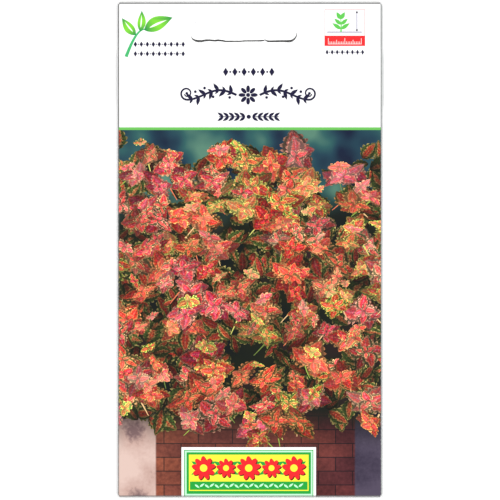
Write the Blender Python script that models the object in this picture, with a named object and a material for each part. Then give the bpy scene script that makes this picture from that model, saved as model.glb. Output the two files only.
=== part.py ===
"""A paper seed packet with a die-cut hanging slit, lying on its back.

Metres, +Z up. The printed front faces +Z, the packet's top edge points to +Y, and the origin is the
middle of the packet on the surface that it lies on. The envelope is one sheet of coated paper: a front,
a tab folded behind each side, a back panel folded up from the bottom edge and glued over the tabs, and a
flap folded down from the top edge and glued over the back panel's end. A small sachet of two films,
sealed together round its rim, lies inside and holds the seeds.
"""

import math
import random

import bmesh
import bpy
from mathutils import Vector

# Driving dimensions
PACKET_WIDTH = 0.080
PACKET_HEIGHT = 0.150
PAPER = 0.00015
LAYER_GAP = 0.00025
CROWN = 0.0019
TAB_WIDTH = 0.011
FLAP_LENGTH = 0.028
BACK_PANEL_LENGTH = 0.132
TOP_CORNER_RADIUS = 0.0008
SLIT_WIDTH = 0.032
SLIT_MIDDLE_X = -0.0017
SLIT_FROM_TOP = 0.0117
SLIT_TURN_RADIUS = 0.0024
SLIT_GAP = 0.00035
SACHET_WIDTH = 0.046
SACHET_HEIGHT = 0.062
SACHET_MIDDLE_Y = -0.026
SEAL_WIDTH = 0.005
FILM = 0.00012
SEED_COUNT = 10
SEED_DIAMETER = 0.001

# Worked out from them: the middle of the paper's thickness is what folds
PITCH = PAPER + LAYER_GAP
BACK_Z = PAPER / 2
SIDE_FOLD_RADIUS = PITCH / 2
END_FOLD_RADIUS = PITCH
FRONT_U = PACKET_WIDTH / 2 - PAPER / 2 - SIDE_FOLD_RADIUS
FRONT_V = PACKET_HEIGHT / 2 - PAPER / 2 - END_FOLD_RADIUS
FLAP_EDGE_Y = FRONT_V - FLAP_LENGTH
BACK_END_Y = BACK_PANEL_LENGTH - FRONT_V
BOTTOM_CORNER_RADIUS = TOP_CORNER_RADIUS / 2
SLIT_Y = PACKET_HEIGHT / 2 - SLIT_FROM_TOP

# How much narrower each folded part is at its free end, as a share of its width or length
TAB_TAPER = 0.035
FLAP_TAPER = 0.16
BACK_TAPER = 0.012

# Where the layers step over one another
STEP_LENGTH = 0.0030
STEP_BEFORE_FLAP = 0.0042
STEP_AFTER_BACK = 0.0006

# Where the front swells over the sachet, from the packet's foot and towards its head
SWELL_FOOT = 0.020
SWELL_HEAD_START = 0.016
SWELL_HEAD_END = 0.046
SACHET_SHOULDER = 0.45

FOLD_SEGMENTS = 6
FRONT_COLUMNS = 12
FRONT_ROWS = 26
STEP_ROWS = 16


def smooth_step(start, end, value):
    """0 before start, 1 after end, and a smooth rise between them."""
    share = min(1.0, max(0.0, (value - start) / (end - start)))
    return share * share * (3 - 2 * share)


def back_z(y):
    """Middle of the back panel's thickness: on the surface, and one layer up where the flap is under it."""
    start = FLAP_EDGE_Y - STEP_BEFORE_FLAP
    return BACK_Z + PITCH * smooth_step(start, start + STEP_LENGTH, y)


def tab_z(y):
    """Middle of a side tab's thickness: a layer above the back panel, and above the flap past its end."""
    start = BACK_END_Y + STEP_AFTER_BACK
    return back_z(y) + PITCH * (1 - smooth_step(start, start + STEP_LENGTH, y))


def front_edge_z(y):
    """Middle of the front's thickness along its side edges, one layer above the tabs."""
    return tab_z(y) + PITCH


def swell(x, y):
    """How far the front is pushed up by what the packet holds."""
    across = max(0.0, 1 - (x / FRONT_U) ** 2)
    foot = smooth_step(-FRONT_V, -FRONT_V + SWELL_FOOT, y)
    head = 1 - smooth_step(SWELL_HEAD_START, SWELL_HEAD_END, y)
    return CROWN * across * foot * head


def around_fold(distance, radius):
    """Follows a half-turn fold: how far out, the height as a share of the radius, and the rest past it."""
    angle = min(distance / radius, math.pi)
    return radius * math.sin(angle), math.cos(angle), max(0.0, distance - math.pi * radius)


def folded(u, v):
    """Where a point of the flat sheet lies in the packet. The front is |u| < FRONT_U, |v| < FRONT_V."""
    if abs(u) > FRONT_U:
        out, turn, past = around_fold(abs(u) - FRONT_U, SIDE_FOLD_RADIUS)
        x = math.copysign(1, u) * (FRONT_U + out - past)
        y = v * (1 - TAB_TAPER * past / TAB_WIDTH)
        middle = (front_edge_z(y) + tab_z(y)) / 2
        return Vector((x, y, middle + SIDE_FOLD_RADIUS * turn))
    if abs(v) > FRONT_V:
        out, turn, past = around_fold(abs(v) - FRONT_V, END_FOLD_RADIUS)
        length, taper = (FLAP_LENGTH, FLAP_TAPER) if v > 0 else (BACK_PANEL_LENGTH, BACK_TAPER)
        x = u * (1 - taper * past / length)
        y = math.copysign(1, v) * (FRONT_V + out - past)
        if past == 0:
            return Vector((x, y, BACK_Z + END_FOLD_RADIUS * (1 + turn)))
        return Vector((x, y, BACK_Z if v > 0 else back_z(y)))
    return Vector((u, v, front_edge_z(v) + swell(u, v)))


def round_corner(u, v):
    """Draws the flat front's free corners in to a quarter circle."""
    radius = TOP_CORNER_RADIUS if v > 0 else BOTTOM_CORNER_RADIUS
    along_u = abs(u) - (FRONT_U - radius)
    along_v = abs(v) - (FRONT_V - radius)
    if min(along_u, along_v) <= 0 or abs(u) > FRONT_U or abs(v) > FRONT_V:
        return u, v
    reach = max(along_u, along_v)
    turn = math.pi / 4 * min(along_u, along_v) / reach
    longer, shorter = reach * math.cos(turn), reach * math.sin(turn)
    if along_u < along_v:
        longer, shorter = shorter, longer
    new_u = math.copysign(FRONT_U - radius + longer, u)
    return new_u, math.copysign(FRONT_V - radius + shorter, v)


def even_steps(start, end, count):
    """count + 1 evenly spaced values from start to end."""
    return [start + (end - start) * i / count for i in range(count + 1)]


def fold_steps(edge, radius):
    """Values along the flat sheet that follow a half-turn fold from its edge."""
    return even_steps(edge, edge + math.pi * radius, FOLD_SEGMENTS)


def mirrored(values):
    """The same steps on the negative side, in rising order."""
    return [-value for value in reversed(values)]


def add_panel(mesh, corners, us, vs):
    """Quads for one block of the flat sheet. Blocks that meet share the vertices kept in corners."""
    for u in us:
        for v in vs:
            key = (round(u, 9), round(v, 9))
            if key not in corners:
                corners[key] = mesh.verts.new((u, v, 0))
    for u0, u1 in zip(us, us[1:]):
        for v0, v1 in zip(vs, vs[1:]):
            quad = ((u0, v0), (u1, v0), (u1, v1), (u0, v1))
            mesh.faces.new([corners[round(u, 9), round(v, 9)] for u, v in quad])


def add_object(name, mesh, material):
    """A named object for a bmesh that is already in place."""
    mesh.normal_update()
    data = bpy.data.meshes.new(name)
    mesh.to_mesh(data)
    mesh.free()
    data.materials.append(material)
    piece = bpy.data.objects.new(name, data)
    bpy.context.scene.collection.objects.link(piece)
    return piece


def thicken(piece, thickness):
    """Gives a single layer its thickness, half to each side."""
    solid = piece.modifiers.new("thickness", "SOLIDIFY")
    solid.thickness = thickness
    solid.offset = 0
    solid.use_even_offset = True


def plain_material(name, colour, roughness, metallic=0.0):
    """A plain material for one sub-part."""
    material = bpy.data.materials.new(name)
    material.use_nodes = True
    surface = material.node_tree.nodes["Principled BSDF"]
    surface.inputs["Base Color"].default_value = (*colour, 1)
    surface.inputs["Roughness"].default_value = roughness
    surface.inputs["Metallic"].default_value = metallic
    return material


def make_sheet(material):
    """The envelope's sheet: laid out flat, block by block, and folded."""
    mesh = bmesh.new()
    corners = {}
    top_hinge_u = FRONT_U - TOP_CORNER_RADIUS
    bottom_hinge_u = FRONT_U - BOTTOM_CORNER_RADIUS
    corner_end_u = FRONT_U - BOTTOM_CORNER_RADIUS / 2
    flap_columns = even_steps(-top_hinge_u, top_hinge_u, FRONT_COLUMNS)
    back_columns = [-bottom_hinge_u, *flap_columns, bottom_hinge_u]
    front_columns = [-FRONT_U, -corner_end_u, *back_columns, corner_end_u, FRONT_U]

    # Rows are closer where the layers step over the flap and over the back panel's end
    low_hinge_v = FRONT_V - BOTTOM_CORNER_RADIUS
    high_hinge_v = FRONT_V - TOP_CORNER_RADIUS
    step_start = FLAP_EDGE_Y - STEP_BEFORE_FLAP
    step_end = BACK_END_Y + STEP_AFTER_BACK + STEP_LENGTH
    hinge_rows = even_steps(-low_hinge_v, step_start, FRONT_ROWS)
    hinge_rows += even_steps(step_start, step_end, STEP_ROWS)[1:]
    hinge_rows += even_steps(step_end, high_hinge_v, 4)[1:]
    foot_rows = [-FRONT_V, -FRONT_V + BOTTOM_CORNER_RADIUS / 2]
    head_rows = [FRONT_V - TOP_CORNER_RADIUS / 2, FRONT_V - TOP_CORNER_RADIUS / 4, FRONT_V]
    add_panel(mesh, corners, front_columns, [*foot_rows, *hinge_rows, *head_rows])

    side_fold = fold_steps(FRONT_U, SIDE_FOLD_RADIUS)
    tab = side_fold + even_steps(side_fold[-1], side_fold[-1] + TAB_WIDTH, 3)[1:]
    add_panel(mesh, corners, tab, hinge_rows)
    add_panel(mesh, corners, mirrored(tab), hinge_rows)

    end_fold = fold_steps(FRONT_V, END_FOLD_RADIUS)
    end_of_fold = end_fold[-1]
    flap = end_fold + even_steps(end_of_fold, end_of_fold + FLAP_LENGTH, 6)[1:]
    add_panel(mesh, corners, flap_columns, flap)

    # The back panel runs from the bottom fold to its end over the flap
    step_from = end_of_fold + FRONT_V + step_start
    step_to = step_from + STEP_LENGTH
    back = end_fold + even_steps(end_of_fold, step_from, FRONT_ROWS)[1:]
    back += even_steps(step_from, step_to, 5)[1:]
    back += even_steps(step_to, end_of_fold + BACK_PANEL_LENGTH, 3)[1:]
    add_panel(mesh, corners, back_columns, mirrored(back))

    for vertex in mesh.verts:
        vertex.co = folded(*round_corner(vertex.co.x, vertex.co.y))
    bmesh.ops.recalc_face_normals(mesh, faces=mesh.faces)
    sheet = add_object("envelope", mesh, material)
    thicken(sheet, PAPER)
    return sheet


def slit_line():
    """The hanging slit's route: a straight run with a quarter circle turned up at each end."""
    left = []
    for i in range(7):
        angle = math.pi / 2 * i / 6
        x = SLIT_MIDDLE_X - SLIT_WIDTH / 2 + SLIT_TURN_RADIUS * (1 - math.cos(angle))
        left.append(Vector((x, SLIT_Y + SLIT_TURN_RADIUS * (1 - math.sin(angle)), 0)))
    right = [Vector((2 * SLIT_MIDDLE_X - point.x, point.y, 0)) for point in reversed(left)]
    return left + right


def make_slit_cutter():
    """A thin blade along the slit's route, tall enough to cut the front and the flap behind it."""
    mesh = bmesh.new()
    line = slit_line()
    low = Vector((0, 0, -CROWN))
    sides = []
    for i, point in enumerate(line):
        along = line[min(i + 1, len(line) - 1)] - line[max(i - 1, 0)]
        across = Vector((-along.y, along.x, 0)).normalized() * SLIT_GAP / 2
        sides.append((mesh.verts.new(point - across + low), mesh.verts.new(point + across + low)))
    for (low_a, high_a), (low_b, high_b) in zip(sides, sides[1:]):
        mesh.faces.new((low_a, low_b, high_b, high_a))
    grown = bmesh.ops.extrude_face_region(mesh, geom=mesh.faces[:])
    raised = [item for item in grown["geom"] if isinstance(item, bmesh.types.BMVert)]
    bmesh.ops.translate(mesh, verts=raised, vec=(0, 0, 3 * CROWN))
    bmesh.ops.recalc_face_normals(mesh, faces=mesh.faces)
    cutter = add_object("slit_cutter", mesh, plain_material("slit_cutter", (0.5, 0.5, 0.5), 0.5))
    cutter.hide_render = True
    cutter.display_type = "WIRE"
    return cutter


def make_envelope():
    """The printed envelope, with its hanging slit cut through."""
    sheet = make_sheet(plain_material("coated_paper", (0.93, 0.93, 0.92), 0.38))
    cut = sheet.modifiers.new("hanging_slit", "BOOLEAN")
    cut.object = make_slit_cutter()
    cut.operation = "DIFFERENCE"


def make_glue_line(name, low, high, material):
    """A flat line of dried glue between two layers of the envelope, in the middle of their gap."""
    mesh = bmesh.new()
    bmesh.ops.create_cube(mesh, size=1)
    size = (high[0] - low[0], high[1] - low[1], LAYER_GAP / 2)
    middle = ((low[0] + high[0]) / 2, (low[1] + high[1]) / 2, PAPER + LAYER_GAP / 2)
    bmesh.ops.scale(mesh, vec=size, verts=mesh.verts)
    bmesh.ops.translate(mesh, vec=middle, verts=mesh.verts)
    add_object(name, mesh, material)


def make_glue():
    """Glue under both side tabs, and between the flap and the back panel's end."""
    dried_glue = plain_material("dried_glue", (0.82, 0.78, 0.66), 0.55)
    inner, outer = FRONT_U - 0.0095, FRONT_U - 0.0035
    foot, head = -FRONT_V + 0.005, FLAP_EDGE_Y - STEP_BEFORE_FLAP - 0.001
    make_glue_line("glue_tab_left", (-outer, foot), (-inner, head), dried_glue)
    make_glue_line("glue_tab_right", (inner, foot), (outer, head), dried_glue)
    flap_foot, flap_head = FLAP_EDGE_Y + 0.0015, BACK_END_Y - 0.0015
    make_glue_line("glue_flap", (-0.031, flap_foot), (0.031, flap_head), dried_glue)


def lower_film_z():
    """Middle of the lower film's thickness, one gap above the back panel."""
    return PAPER + LAYER_GAP + FILM / 2


def upper_film_z(x, y):
    """Middle of the upper film's thickness: flat round its sealed rim, and domed over the seeds."""
    across = 1 - (x / (SACHET_WIDTH / 2 - SEAL_WIDTH)) ** 2
    along = 1 - ((y - SACHET_MIDDLE_Y) / (SACHET_HEIGHT / 2 - SEAL_WIDTH)) ** 2
    rise = smooth_step(0, SACHET_SHOULDER, across) * smooth_step(0, SACHET_SHOULDER, along)
    return lower_film_z() + FILM + LAYER_GAP + (SEED_DIAMETER + LAYER_GAP) * rise


def make_film(name, height, material):
    """One film of the sachet. height gives the middle of its thickness at a place."""
    mesh = bmesh.new()
    xs = even_steps(-SACHET_WIDTH / 2, SACHET_WIDTH / 2, 18)
    low_y = SACHET_MIDDLE_Y - SACHET_HEIGHT / 2
    add_panel(mesh, {}, xs, even_steps(low_y, low_y + SACHET_HEIGHT, 24))
    for vertex in mesh.verts:
        vertex.co.z = height(vertex.co.x, vertex.co.y)
    thicken(add_object(name, mesh, material), FILM)


def make_sachet():
    """The two films, sealed together round their rim."""
    film = plain_material("sachet_film", (0.86, 0.87, 0.88), 0.25)
    make_film("sachet_lower_film", lambda x, y: lower_film_z(), film)
    make_film("sachet_upper_film", upper_film_z, film)


def make_seeds():
    """Small round seeds, scattered on the lower film in the sachet's middle."""
    seed_coat = plain_material("seed_coat", (0.09, 0.05, 0.03), 0.6)
    draw = random.Random(7)
    places = []
    while len(places) < SEED_COUNT:
        y = SACHET_MIDDLE_Y + draw.uniform(-0.016, 0.006)
        place = Vector((draw.uniform(-0.009, 0.009), y, 0))
        if all((place - other).length > 2 * SEED_DIAMETER for other in places):
            places.append(place)
    rest_z = PAPER + LAYER_GAP + FILM + LAYER_GAP
    for number, place in enumerate(places, 1):
        mesh = bmesh.new()
        bmesh.ops.create_icosphere(mesh, subdivisions=2, radius=SEED_DIAMETER / 2)
        flatness = draw.uniform(0.82, 0.95)
        bmesh.ops.scale(mesh, vec=(1, draw.uniform(0.86, 1), flatness), verts=mesh.verts)
        lift = Vector((0, 0, rest_z + SEED_DIAMETER / 2 * flatness))
        bmesh.ops.translate(mesh, vec=place + lift, verts=mesh.verts)
        for face in mesh.faces:
            face.smooth = True
        add_object(f"seed_{number:02d}", mesh, seed_coat)


def main():
    """Clears the scene and builds every piece."""
    for old in list(bpy.data.objects):
        bpy.data.objects.remove(old)
    make_envelope()
    make_glue()
    make_sachet()
    make_seeds()


main()
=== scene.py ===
"""A printed paper seed packet, lying face up on a pale table."""

import collections
import math
import random

import bmesh
import bpy
import numpy as np
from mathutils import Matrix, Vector
from mathutils.geometry import delaunay_2d_cdt


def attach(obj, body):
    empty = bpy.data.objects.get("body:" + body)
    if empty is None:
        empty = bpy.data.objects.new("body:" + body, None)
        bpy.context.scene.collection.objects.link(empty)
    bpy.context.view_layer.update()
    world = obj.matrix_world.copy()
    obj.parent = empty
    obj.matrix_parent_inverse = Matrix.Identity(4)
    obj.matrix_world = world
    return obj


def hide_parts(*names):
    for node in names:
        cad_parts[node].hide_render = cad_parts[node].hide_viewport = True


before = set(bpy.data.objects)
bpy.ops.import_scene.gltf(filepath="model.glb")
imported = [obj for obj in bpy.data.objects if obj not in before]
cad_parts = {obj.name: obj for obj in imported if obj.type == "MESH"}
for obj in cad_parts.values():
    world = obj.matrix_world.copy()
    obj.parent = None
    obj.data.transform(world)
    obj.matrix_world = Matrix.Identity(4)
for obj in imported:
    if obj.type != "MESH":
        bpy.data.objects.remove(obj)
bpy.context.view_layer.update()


# Camera: it looks straight down from far off, as a flatbed scan does, with the packet upright in a
# square frame and its middle a hair left of and above the frame's middle.
def add_object(name, data):
    """Puts a new object in the scene."""
    item = bpy.data.objects.new(name, data)
    bpy.context.scene.collection.objects.link(item)
    return item


MM = 0.001
VIEW_WIDTH = 151.7 * MM
AIM_X, AIM_Y = 0.08 * MM, -0.12 * MM
LENS_MM, SENSOR_MM = 300.0, 36.0
camera_data = bpy.data.cameras.new("camera")
camera_data.lens = LENS_MM
camera_data.sensor_width = SENSOR_MM
camera = add_object("camera", camera_data)
camera.location = (AIM_X, AIM_Y, VIEW_WIDTH * LENS_MM / SENSOR_MM + 1 * MM)
bpy.context.scene.camera = camera


# Table and lights: a plain white table, lit by a soft box beyond each corner at about 45 degrees, so
# that the packet's gloss stays out of the camera's view, and a dim white room.
def add_piece(name, mesh, *materials):
    """A named object for a bmesh that is already in place."""
    data = bpy.data.meshes.new(name)
    mesh.to_mesh(data)
    mesh.free()
    for material in materials:
        data.materials.append(material)
    return add_object(name, data)


def add_soft_box(name, azimuth, power):
    """A square soft box, turned towards the packet."""
    light = bpy.data.lights.new(name, "AREA")
    light.size = SOFT_BOX_SIZE
    light.energy = power
    holder = add_object(name, light)
    turn = math.radians(azimuth)
    holder.location = (math.sin(turn), math.cos(turn), SOFT_BOX_HEIGHT)
    holder.rotation_euler = (-holder.location).to_track_quat("-Z", "Y").to_euler()


SOFT_BOX_SIZE, SOFT_BOX_HEIGHT = 0.7, 1.05
TABLE_HALF_WIDTH, TABLE_TOP_Z = 1.2, -0.02 * MM
ROOM_BRIGHTNESS = 0.28
table_white = bpy.data.materials.new("table_white")
table_white.use_nodes = True
table_surface = table_white.node_tree.nodes["Principled BSDF"].inputs
table_surface["Base Color"].default_value = (0.93, 0.93, 0.93, 1)
table_surface["Roughness"].default_value = 0.9
table_surface["Specular IOR Level"].default_value = 0.1
table_top = bmesh.new()
bmesh.ops.create_grid(table_top, x_segments=1, y_segments=1, size=TABLE_HALF_WIDTH)
bmesh.ops.translate(table_top, verts=table_top.verts, vec=(0, 0, TABLE_TOP_Z))
table = add_piece("table", table_top, table_white)
for corner, box_azimuth, box_power in (
    ("head_left", 318, 8.8), ("head_right", 46, 7.8), ("foot_left", 224, 7.6), ("foot_right", 136, 7.0),
):
    add_soft_box("soft_box_" + corner, box_azimuth, box_power)
room = bpy.data.worlds.new("room")
room.use_nodes = True
room_light = room.node_tree.nodes["Background"].inputs
room_light["Color"].default_value = (1, 1, 1, 1)
room_light["Strength"].default_value = ROOM_BRIGHTNESS
bpy.context.scene.world = room
bpy.context.scene.view_settings.view_transform = "Standard"


# Envelope: one sheet of coated paper, creased and folded. Each side has a tab folded behind, the back
# panel comes up from the bottom edge and is glued over the tabs, and the flap comes down from the top
# edge and is glued over the panel's end. A hanging slit is die-cut through the front and the flap.
PACKET_WIDTH, PACKET_HEIGHT = 80 * MM, 150 * MM
PAPER_ALLOWANCE = 0.15 * MM
LAYER_PITCH = 0.40 * MM
CROWN = 1.9 * MM
TAB_WIDTH, FLAP_LENGTH, BACK_PANEL_LENGTH = 11 * MM, 28 * MM, 132 * MM
SIDE_FOLD_RADIUS, END_FOLD_RADIUS = LAYER_PITCH / 2, LAYER_PITCH
FRONT_U = PACKET_WIDTH / 2 - PAPER_ALLOWANCE / 2 - SIDE_FOLD_RADIUS
FRONT_V = PACKET_HEIGHT / 2 - PAPER_ALLOWANCE / 2 - END_FOLD_RADIUS
FLAP_EDGE_Y = FRONT_V - FLAP_LENGTH
BACK_END_Y = BACK_PANEL_LENGTH - FRONT_V
TAB_TAPER, FLAP_TAPER, BACK_TAPER = 0.035, 0.16, 0.012
STEP_LENGTH, STEP_BEFORE_FLAP, STEP_AFTER_BACK = 3.0 * MM, 4.2 * MM, 0.6 * MM
SWELL_FOOT = 20 * MM
SWELL_HEAD_START, SWELL_HEAD_END = 16 * MM, 46 * MM
RIPPLE = 0.07 * MM

# The paper proper is thinner than its allowance, which leaves room for the ink on it
PAPER = 0.10 * MM
TOP_CORNER_RADIUS, BOTTOM_CORNER_RADIUS = 0.08 * MM, 0.05 * MM
CREASE_ANGLE = math.radians(50)


def smooth_step(start, end, values):
    """0 before start, 1 after end, and a smooth rise between them."""
    share = np.clip((values - start) / (end - start), 0, 1)
    return share * share * (3 - 2 * share)


def back_z(y):
    """Middle of the back panel's thickness, one layer up where the flap is under it."""
    start = FLAP_EDGE_Y - STEP_BEFORE_FLAP
    return PAPER_ALLOWANCE / 2 + LAYER_PITCH * smooth_step(start, start + STEP_LENGTH, y)


def tab_z(y):
    """Middle of a side tab's thickness, a layer above the back panel as far as the panel goes."""
    start = BACK_END_Y + STEP_AFTER_BACK
    return back_z(y) + LAYER_PITCH * (1 - smooth_step(start, start + STEP_LENGTH, y))


def front_z(x, y):
    """Middle of the front's thickness: it swells over the sachet, and is never quite flat."""
    inside = np.clip(1 - (x / FRONT_U) ** 2, 0, 1)
    foot = smooth_step(-FRONT_V, -FRONT_V + SWELL_FOOT, y)
    head = 1 - smooth_step(SWELL_HEAD_START, SWELL_HEAD_END, y)
    waves = np.sin(x * 95 + y * 60 + 0.4) + np.sin(y * 130 - x * 40) + np.sin(x * 210 + 2 * np.sin(y * 70))
    ripple = RIPPLE * (waves / 3 - 1) * inside * np.clip(1 - (y / FRONT_V) ** 2, 0, 1)
    return tab_z(y) + LAYER_PITCH + CROWN * inside * foot * head + ripple


def fold(u, v, lift):
    """Where points of the flat sheet lie in the packet, at a distance outside the paper's middle."""
    u, v = np.asarray(u, float), np.asarray(v, float)
    places = np.stack([u, v, front_z(u, v) + lift], axis=-1)

    side = np.abs(u) > FRONT_U
    over = np.abs(u[side]) - FRONT_U
    past = np.maximum(over - math.pi * SIDE_FOLD_RADIUS, 0)
    angle = np.minimum(over / SIDE_FOLD_RADIUS, math.pi)
    y = v[side] * (1 - TAB_TAPER * past / TAB_WIDTH)
    reach = SIDE_FOLD_RADIUS + lift
    places[side, 0] = np.sign(u[side]) * (FRONT_U + reach * np.sin(angle) - past)
    places[side, 1] = y
    places[side, 2] = tab_z(y) + LAYER_PITCH / 2 + reach * np.cos(angle)

    end = ~side & (np.abs(v) > FRONT_V)
    at_head = v[end] > 0
    over = np.abs(v[end]) - FRONT_V
    past = np.maximum(over - math.pi * END_FOLD_RADIUS, 0)
    angle = np.minimum(over / END_FOLD_RADIUS, math.pi)
    length = np.where(at_head, FLAP_LENGTH, BACK_PANEL_LENGTH)
    taper = np.where(at_head, FLAP_TAPER, BACK_TAPER)
    reach = END_FOLD_RADIUS + lift
    y = np.sign(v[end]) * (FRONT_V + reach * np.sin(angle) - past)
    panel_z = np.where(at_head | (past == 0), PAPER_ALLOWANCE / 2, back_z(y))
    places[end, 0] = u[end] * (1 - taper * past / length)
    places[end, 1] = y
    places[end, 2] = panel_z + END_FOLD_RADIUS + reach * np.cos(angle)
    return places


def add_hinged_panel(mesh, edges, direction, steps):
    """Extrudes a row of edges outwards step by step, as a panel that hinges on them."""
    for step in steps:
        grown = bmesh.ops.extrude_edge_only(mesh, edges=edges)["geom"]
        points = {item for item in grown if isinstance(item, bmesh.types.BMVert)}
        bmesh.ops.translate(mesh, verts=list(points), vec=direction * step)
        edges = [
            item for item in grown
            if isinstance(item, bmesh.types.BMEdge) and points.issuperset(item.verts)
        ]


# How many parts the flat sheet is cut into: across and up the front, round a fold, and on each panel
FRONT_PARTS_ACROSS, FRONT_PARTS_UP, FOLD_PARTS, CORNER_PARTS = 26, 298, 8, 6
TAB_PARTS, FLAP_PARTS, BACK_PARTS = 6, 14, 264


def make_flat_sheet():
    """The die-cut blank, drawn flat: the front with rounded corners, tabs, back panel and flap."""
    mesh = bmesh.new()
    bmesh.ops.create_grid(mesh, x_segments=FRONT_PARTS_ACROSS, y_segments=FRONT_PARTS_UP, size=1)
    bmesh.ops.scale(mesh, vec=(FRONT_U, FRONT_V, 1), verts=mesh.verts)
    for sign, radius in ((1, TOP_CORNER_RADIUS), (-1, BOTTOM_CORNER_RADIUS)):
        corners = [v for v in mesh.verts if len(v.link_edges) == 2 and v.co.y * sign > 0]
        bmesh.ops.bevel(
            mesh, geom=corners, offset=radius, offset_type="OFFSET", segments=CORNER_PARTS, profile=0.5,
            affect="VERTICES", material=-1,
        )
    for axis, edge, radius, length, parts in (
        (0, FRONT_U, SIDE_FOLD_RADIUS, TAB_WIDTH, TAB_PARTS),
        (0, -FRONT_U, SIDE_FOLD_RADIUS, TAB_WIDTH, TAB_PARTS),
        (1, FRONT_V, END_FOLD_RADIUS, FLAP_LENGTH, FLAP_PARTS),
        (1, -FRONT_V, END_FOLD_RADIUS, BACK_PANEL_LENGTH, BACK_PARTS),
    ):
        hinge = [e for e in mesh.edges if all(abs(v.co[axis] - edge) < 1e-7 for v in e.verts)]
        direction = Vector((0, 0, 0))
        direction[axis] = math.copysign(1, edge)
        fold_steps = [math.pi * radius / FOLD_PARTS] * FOLD_PARTS
        add_hinged_panel(mesh, hinge, direction, fold_steps + [length / parts] * parts)
    return mesh


SLIT_WIDTH = 32 * MM
SLIT_MIDDLE_X = -1.7 * MM
SLIT_Y = PACKET_HEIGHT / 2 - 11.7 * MM
SLIT_TURN_RADIUS = 2.4 * MM
SLIT_LEFT_RISE = 0.58

# The cut's edge is lifted near its left end and nicked right of its middle. Place and sag, then place
# and gap, in mm
SLIT_SAG = (
    (-14.5, -0.06), (-13.4, 0.20), (-12.2, 0.24), (-10.6, 0.08), (-9.6, 0.22), (-8.2, 0.06),
    (-7.4, -0.12), (-3.0, -0.10), (-1.6, 0.02), (1.0, 0.04), (3.2, 0.06), (4.2, 0.14),
    (4.7, 0.34), (5.1, 0.06), (5.6, -0.10), (10.0, -0.04), (12.0, -0.08),
)
SLIT_GAPS = (
    (-17.7, 0.10), (-17.3, 0.36), (-16.2, 0.62), (-14.8, 0.62), (-13.2, 0.50), (-11.4, 0.47), (-9.5, 0.49),
    (-7.4, 0.42), (-4.4, 0.34), (-1.4, 0.37), (1.7, 0.38), (3.8, 0.42), (4.6, 0.22), (5.4, 0.48),
    (7.7, 0.51), (10.8, 0.56), (12.3, 0.68), (13.2, 0.58), (13.9, 0.36), (14.4, 0.14),
)
GAP_CHANCE = 0.03
TURN_POINTS, MIDDLE_POINTS = 9, 110

# The blade's share of the gap and its height, at its foot below the flap and its top above the front
BLADE_FOOT, BLADE_TOP = (0.06, -0.2 * MM), (1.28, 1.2 * MM)


def make_slit_blade():
    """A thin blade along the slit's route, with both ends turned up. It tapers towards the flap."""
    mesh = bmesh.new()
    half, turn = SLIT_WIDTH / 2, SLIT_TURN_RADIUS
    quarter = np.linspace(0, math.pi / 2, TURN_POINTS)
    curl = [(turn * (1 - math.cos(angle)), turn * (1 - math.sin(angle))) for angle in quarter]
    route = [(x - half, SLIT_LEFT_RISE * y) for x, y in curl]
    route += [(x, 0.0) for x in np.linspace(turn - half, half - turn, MIDDLE_POINTS)[1:-1]]
    route += [(half - x, y) for x, y in reversed(curl)]
    sag_places, sags = np.array(SLIT_SAG).T * MM
    gap_places, gaps = np.array(SLIT_GAPS).T * MM
    draw = random.Random(11)
    rows = []
    for i, (x, y) in enumerate(route):
        before, after = Vector(route[max(i - 1, 0)]), Vector(route[min(i + 1, len(route) - 1)])
        along = (after - before).normalized()
        across = Vector((-along.y, along.x))
        x += SLIT_MIDDLE_X
        sag = np.interp(x, sag_places, sags) * (1 - min(1, 2 * y / turn))
        gap = np.interp(x, gap_places, gaps) + draw.uniform(-GAP_CHANCE, GAP_CHANCE) * MM
        centre = Vector((x, SLIT_Y + y + sag))
        section = []
        for side, (share, z) in ((-1, BLADE_FOOT), (1, BLADE_FOOT), (1, BLADE_TOP), (-1, BLADE_TOP)):
            section.append(mesh.verts.new((*(centre + across * side * share * gap / 2), z)))
        rows.append(section)
    for section, following in zip(rows, rows[1:]):
        for corner in range(4):
            other = (corner + 1) % 4
            mesh.faces.new((section[corner], section[other], following[other], following[corner]))
    mesh.faces.new(rows[0])
    mesh.faces.new(rows[-1])
    bmesh.ops.recalc_face_normals(mesh, faces=mesh.faces)
    bmesh.ops.triangulate(mesh, faces=mesh.faces[:])
    # The blade's faces become the slit's walls, in the second material, which is painted shade
    for face in mesh.faces:
        face.material_index = 1
    return mesh


def finish_piece(piece):
    """Applies a piece's modifiers, smooths it up to its creases, and makes it part of the packet."""
    shaped = piece.evaluated_get(bpy.context.evaluated_depsgraph_get())
    data = bpy.data.meshes.new_from_object(shaped)
    piece.modifiers.clear()
    piece.data = data
    data.shade_smooth()
    data.set_sharp_from_angle(angle=CREASE_ANGLE)
    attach(piece, "root")


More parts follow.
